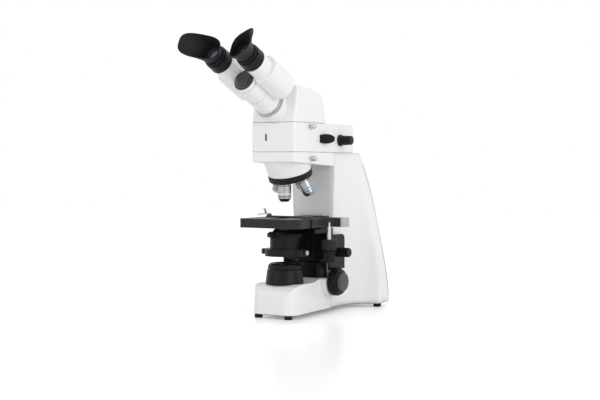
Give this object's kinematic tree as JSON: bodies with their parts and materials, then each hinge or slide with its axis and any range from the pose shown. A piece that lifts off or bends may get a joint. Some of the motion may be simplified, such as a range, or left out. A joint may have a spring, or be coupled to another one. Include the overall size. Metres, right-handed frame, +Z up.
{
  "type": "compound microscope",
  "caption": "Upright bench microscope: binocular head on a swinging hinge, incident light module, tilted nosepiece, moving stage, condenser and focus drive on a flared stand.",
  "frame": {"origin": "on the table, below the middle of the part's length and width; the optical axis stands at X = -4.2 mm, Y = -21.3 mm", "axes": "+Z up, +Y from the user towards the column, +X to the user's right"},
  "size_m": [0.1643, 0.4395, 0.4655],
  "materials": {
    "paint_white": "smooth satin paint, cool white",
    "paint_grey": "satin moulded cover",
    "plate_dark": "dark painted sheet",
    "rubber_foot": "matt rubber",
    "plastic_black": "satin black plastic",
    "trim_grey": "grey trim in the rear joint",
    "paint_black": "satin black paint",
    "glass_lens": "coated optical glass",
    "rail_black": "blackened steel slide",
    "gloss_black": "glossy black",
    "steel": "bright machined steel",
    "knob_black": "matt black moulded knob",
    "knob_grey": "dark grey knob with a paler end",
    "stage_black": "hard black coating with a soft sheen",
    "cap_grey": "pale grey end cap",
    "holder_black": "black coated metal",
    "knurl_black": "fine ribbed black grip",
    "objective_metal": "satin metal barrel with colour rings",
    "eyepiece_black": "satin black barrel",
    "rubber_cup": "soft matt rubber"
  },
  "bodies": {
    "stand": {"base_casting": "paint_white", "column_casting": "paint_white", "rear_cover": "paint_grey", "arm_casting": "paint_white", "base_plate": "plate_dark", "feet": "rubber_foot", "power_inlet": "plastic_black", "trim_strips": "trim_grey", "lamp_housing": "paint_black", "field_lens": "glass_lens", "focus_housing": "paint_black", "guide_rail": "rail_black", "module_housing": "paint_white", "module_window": "gloss_black"},
    "dimmer": {"dimmer_knob": "plastic_black"},
    "field_diaphragm": {"field_ring": "paint_black"},
    "coarse_drive": {"coarse_shaft": "steel", "coarse_knob_left": "knob_black", "coarse_knob_right": "knob_black"},
    "fine_drive": {"fine_knob_left": "knob_grey", "fine_knob_right": "knob_grey"},
    "carrier": {"stage_carrier": "paint_black", "stage_subplate": "stage_black"},
    "stage": {"stage_top": "stage_black", "rail_cap": "cap_grey"},
    "stage_y_drive": {"y_drive": "knob_black"},
    "stage_x_drive": {"x_drive": "knob_black"},
    "holder": {"slide_holder": "holder_black", "holder_screws": "steel"},
    "finger": {"spring_finger": "steel"},
    "condenser": {"condenser_holder": "paint_black", "condenser_body": "paint_black", "condenser_lens": "glass_lens"},
    "aperture_diaphragm": {"iris_ring": "paint_black"},
    "centring_left": {"centring_screw_left": "steel"},
    "centring_right": {"centring_screw_right": "steel"},
    "condenser_height": {"condenser_drive": "knob_black"},
    "nosepiece": {"turret_ring": "knurl_black", "objective_10x": "objective_metal", "objective_40x": "objective_metal", "objective_100x": "objective_metal", "objective_4x": "objective_metal"},
    "light_slider": {"module_slider": "plastic_black"},
    "light_knob": {"module_knob": "plastic_black"},
    "clamp_head": {"clamp_screw_head": "steel"},
    "clamp_module": {"clamp_screw_module": "steel"},
    "head": {"head_housing": "paint_white", "hub_spindle": "steel", "scale_disc": "gloss_black", "scale_rim": "paint_white"},
    "left_arm": {"arm_housing_left": "paint_white", "eyepiece_barrel_left": "eyepiece_black", "eye_lens_left": "glass_lens"},
    "right_arm": {"arm_housing_right": "paint_white", "eyepiece_barrel_right": "eyepiece_black", "eye_lens_right": "glass_lens"},
    "left_diopter": {"diopter_ring_left": "knurl_black"},
    "right_diopter": {"diopter_ring_right": "knurl_black"},
    "left_cup": {"eyecup_left": "rubber_cup"},
    "right_cup": {"eyecup_right": "rubber_cup"}
  },
  "joints": [
    {"name": "focus_travel", "type": "slide", "parent": "stand", "child": "carrier", "axis": [0, 0, 1], "range_m": [-0.002, 0.02]},
    {"name": "coarse_turn", "type": "hinge", "parent": "stand", "child": "coarse_drive", "pos_m": [-0.0042, 0.0627, 0.0553], "axis": [-1, 0, 0], "range_deg": [-17, 162]},
    {"name": "fine_turn", "type": "hinge", "parent": "stand", "child": "fine_drive", "pos_m": [-0.0042, 0.0627, 0.0553], "axis": [1, 0, 0], "continuous": true},
    {"name": "stage_travel_y", "type": "slide", "parent": "carrier", "child": "stage", "axis": [0, 1, 0], "range_m": [-0.0125, 0.0125]},
    {"name": "y_knob_turn", "type": "hinge", "parent": "stage", "child": "stage_y_drive", "pos_m": [0.0558, 0.0264, 0.122], "axis": [0, 0, 1], "range_deg": [-181, 181]},
    {"name": "stage_travel_x", "type": "slide", "parent": "stage", "child": "holder", "axis": [1, 0, 0], "range_m": [-0.025, 0.025]},
    {"name": "x_knob_turn", "type": "hinge", "parent": "stage", "child": "stage_x_drive", "pos_m": [0.0558, 0.0264, 0.102], "axis": [0, 0, 1], "range_deg": [-361, 361]},
    {"name": "finger_swing", "type": "hinge", "parent": "holder", "child": "finger", "pos_m": [-0.0482, -0.0023, 0.174], "axis": [0, 0, 1], "range_deg": [-35, 0], "stiffness_Nm_per_rad": 0.02, "springref_deg": 14.32},
    {"name": "condenser_travel", "type": "slide", "parent": "carrier", "child": "condenser", "axis": [0, 0, 1], "range_m": [-0.007, 0.003]},
    {"name": "condenser_knob_turn", "type": "hinge", "parent": "carrier", "child": "condenser_height", "pos_m": [0.0608, 0.0627, 0.107], "axis": [1, 0, 0], "range_deg": [-85, 37]},
    {"name": "aperture_turn", "type": "hinge", "parent": "condenser", "child": "aperture_diaphragm", "pos_m": [-0.0042, -0.0213, 0.1376], "axis": [0, 0, 1], "range_deg": [-25, 25]},
    {"name": "centring_turn_left", "type": "hinge", "parent": "condenser", "child": "centring_left", "pos_m": [-0.0462, -0.0213, 0.11025], "axis": [1, 0, 0], "range_deg": [-180, 180]},
    {"name": "centring_turn_right", "type": "hinge", "parent": "condenser", "child": "centring_right", "pos_m": [0.0378, -0.0213, 0.11025], "axis": [1, 0, 0], "range_deg": [-180, 180]},
    {"name": "field_turn", "type": "hinge", "parent": "stand", "child": "field_diaphragm", "pos_m": [-0.0042, -0.0213, 0.087], "axis": [0, 0, 1], "range_deg": [0, 60]},
    {"name": "dimmer_turn", "type": "hinge", "parent": "stand", "child": "dimmer", "pos_m": [-0.0512, -0.0133, 0.034], "axis": [-1, 0, 0], "range_deg": [0, 300]},
    {"name": "nosepiece_turn", "type": "hinge", "parent": "stand", "child": "nosepiece", "pos_m": [-0.0042, -0.0049, 0.2476], "axis": [0, 0.342, -0.9397], "continuous": true},
    {"name": "light_slider_travel", "type": "slide", "parent": "stand", "child": "light_slider", "axis": [1, 0, 0], "range_m": [0, 0.015]},
    {"name": "light_knob_turn", "type": "hinge", "parent": "stand", "child": "light_knob", "pos_m": [0.0458, 0.0907, 0.3024], "axis": [1, 0, 0], "range_deg": [0, 300]},
    {"name": "clamp_head_turn", "type": "hinge", "parent": "stand", "child": "clamp_head", "pos_m": [0.0408, -0.0098, 0.324], "axis": [1, 0, 0], "range_deg": [-180, 180]},
    {"name": "clamp_module_turn", "type": "hinge", "parent": "stand", "child": "clamp_module", "pos_m": [0.0408, -0.0065, 0.27], "axis": [1, 0, 0], "range_deg": [-180, 180]},
    {"name": "head_turn", "type": "hinge", "parent": "stand", "child": "head", "pos_m": [-0.0042, -0.0213, 0.331], "axis": [0, 0, 1], "range_deg": [-90, 90]},
    {"name": "left_arm_swing", "type": "hinge", "parent": "head", "child": "left_arm", "pos_m": [-0.0042, -0.10495, 0.3787], "axis": [0, -0.9063, 0.4226], "range_deg": [-17.6, 23]},
    {"name": "right_arm_swing", "type": "hinge", "parent": "head", "child": "right_arm", "pos_m": [-0.0042, -0.10495, 0.3787], "axis": [0, -0.9063, 0.4226], "range_deg": [-23, 17.6]},
    {"name": "left_diopter_turn", "type": "hinge", "parent": "left_arm", "child": "left_diopter", "pos_m": [-0.0352, -0.17838, 0.43324], "axis": [0, -0.9063, 0.4226], "range_deg": [-120, 120]},
    {"name": "left_cup_turn", "type": "hinge", "parent": "left_arm", "child": "left_cup", "pos_m": [-0.0352, -0.18418, 0.43594], "axis": [0, -0.9063, 0.4226], "range_deg": [-20, 20]},
    {"name": "right_diopter_turn", "type": "hinge", "parent": "right_arm", "child": "right_diopter", "pos_m": [0.0268, -0.17838, 0.43324], "axis": [0, -0.9063, 0.4226], "range_deg": [-120, 120]},
    {"name": "right_cup_turn", "type": "hinge", "parent": "right_arm", "child": "right_cup", "pos_m": [0.0268, -0.18418, 0.43594], "axis": [0, -0.9063, 0.4226], "range_deg": [-20, 20]}
  ],
  "couplings": [
    {"joint": "coarse_turn", "follows": "focus_travel", "rad_per_m": 139.6},
    {"joint": "y_knob_turn", "follows": "stage_travel_y", "rad_per_m": 251},
    {"joint": "x_knob_turn", "follows": "stage_travel_x", "rad_per_m": 251},
    {"joint": "condenser_knob_turn", "follows": "condenser_travel", "rad_per_m": 209.4},
    {"joint": "right_arm_swing", "follows": "left_arm_swing", "ratio": -1}
  ]
}
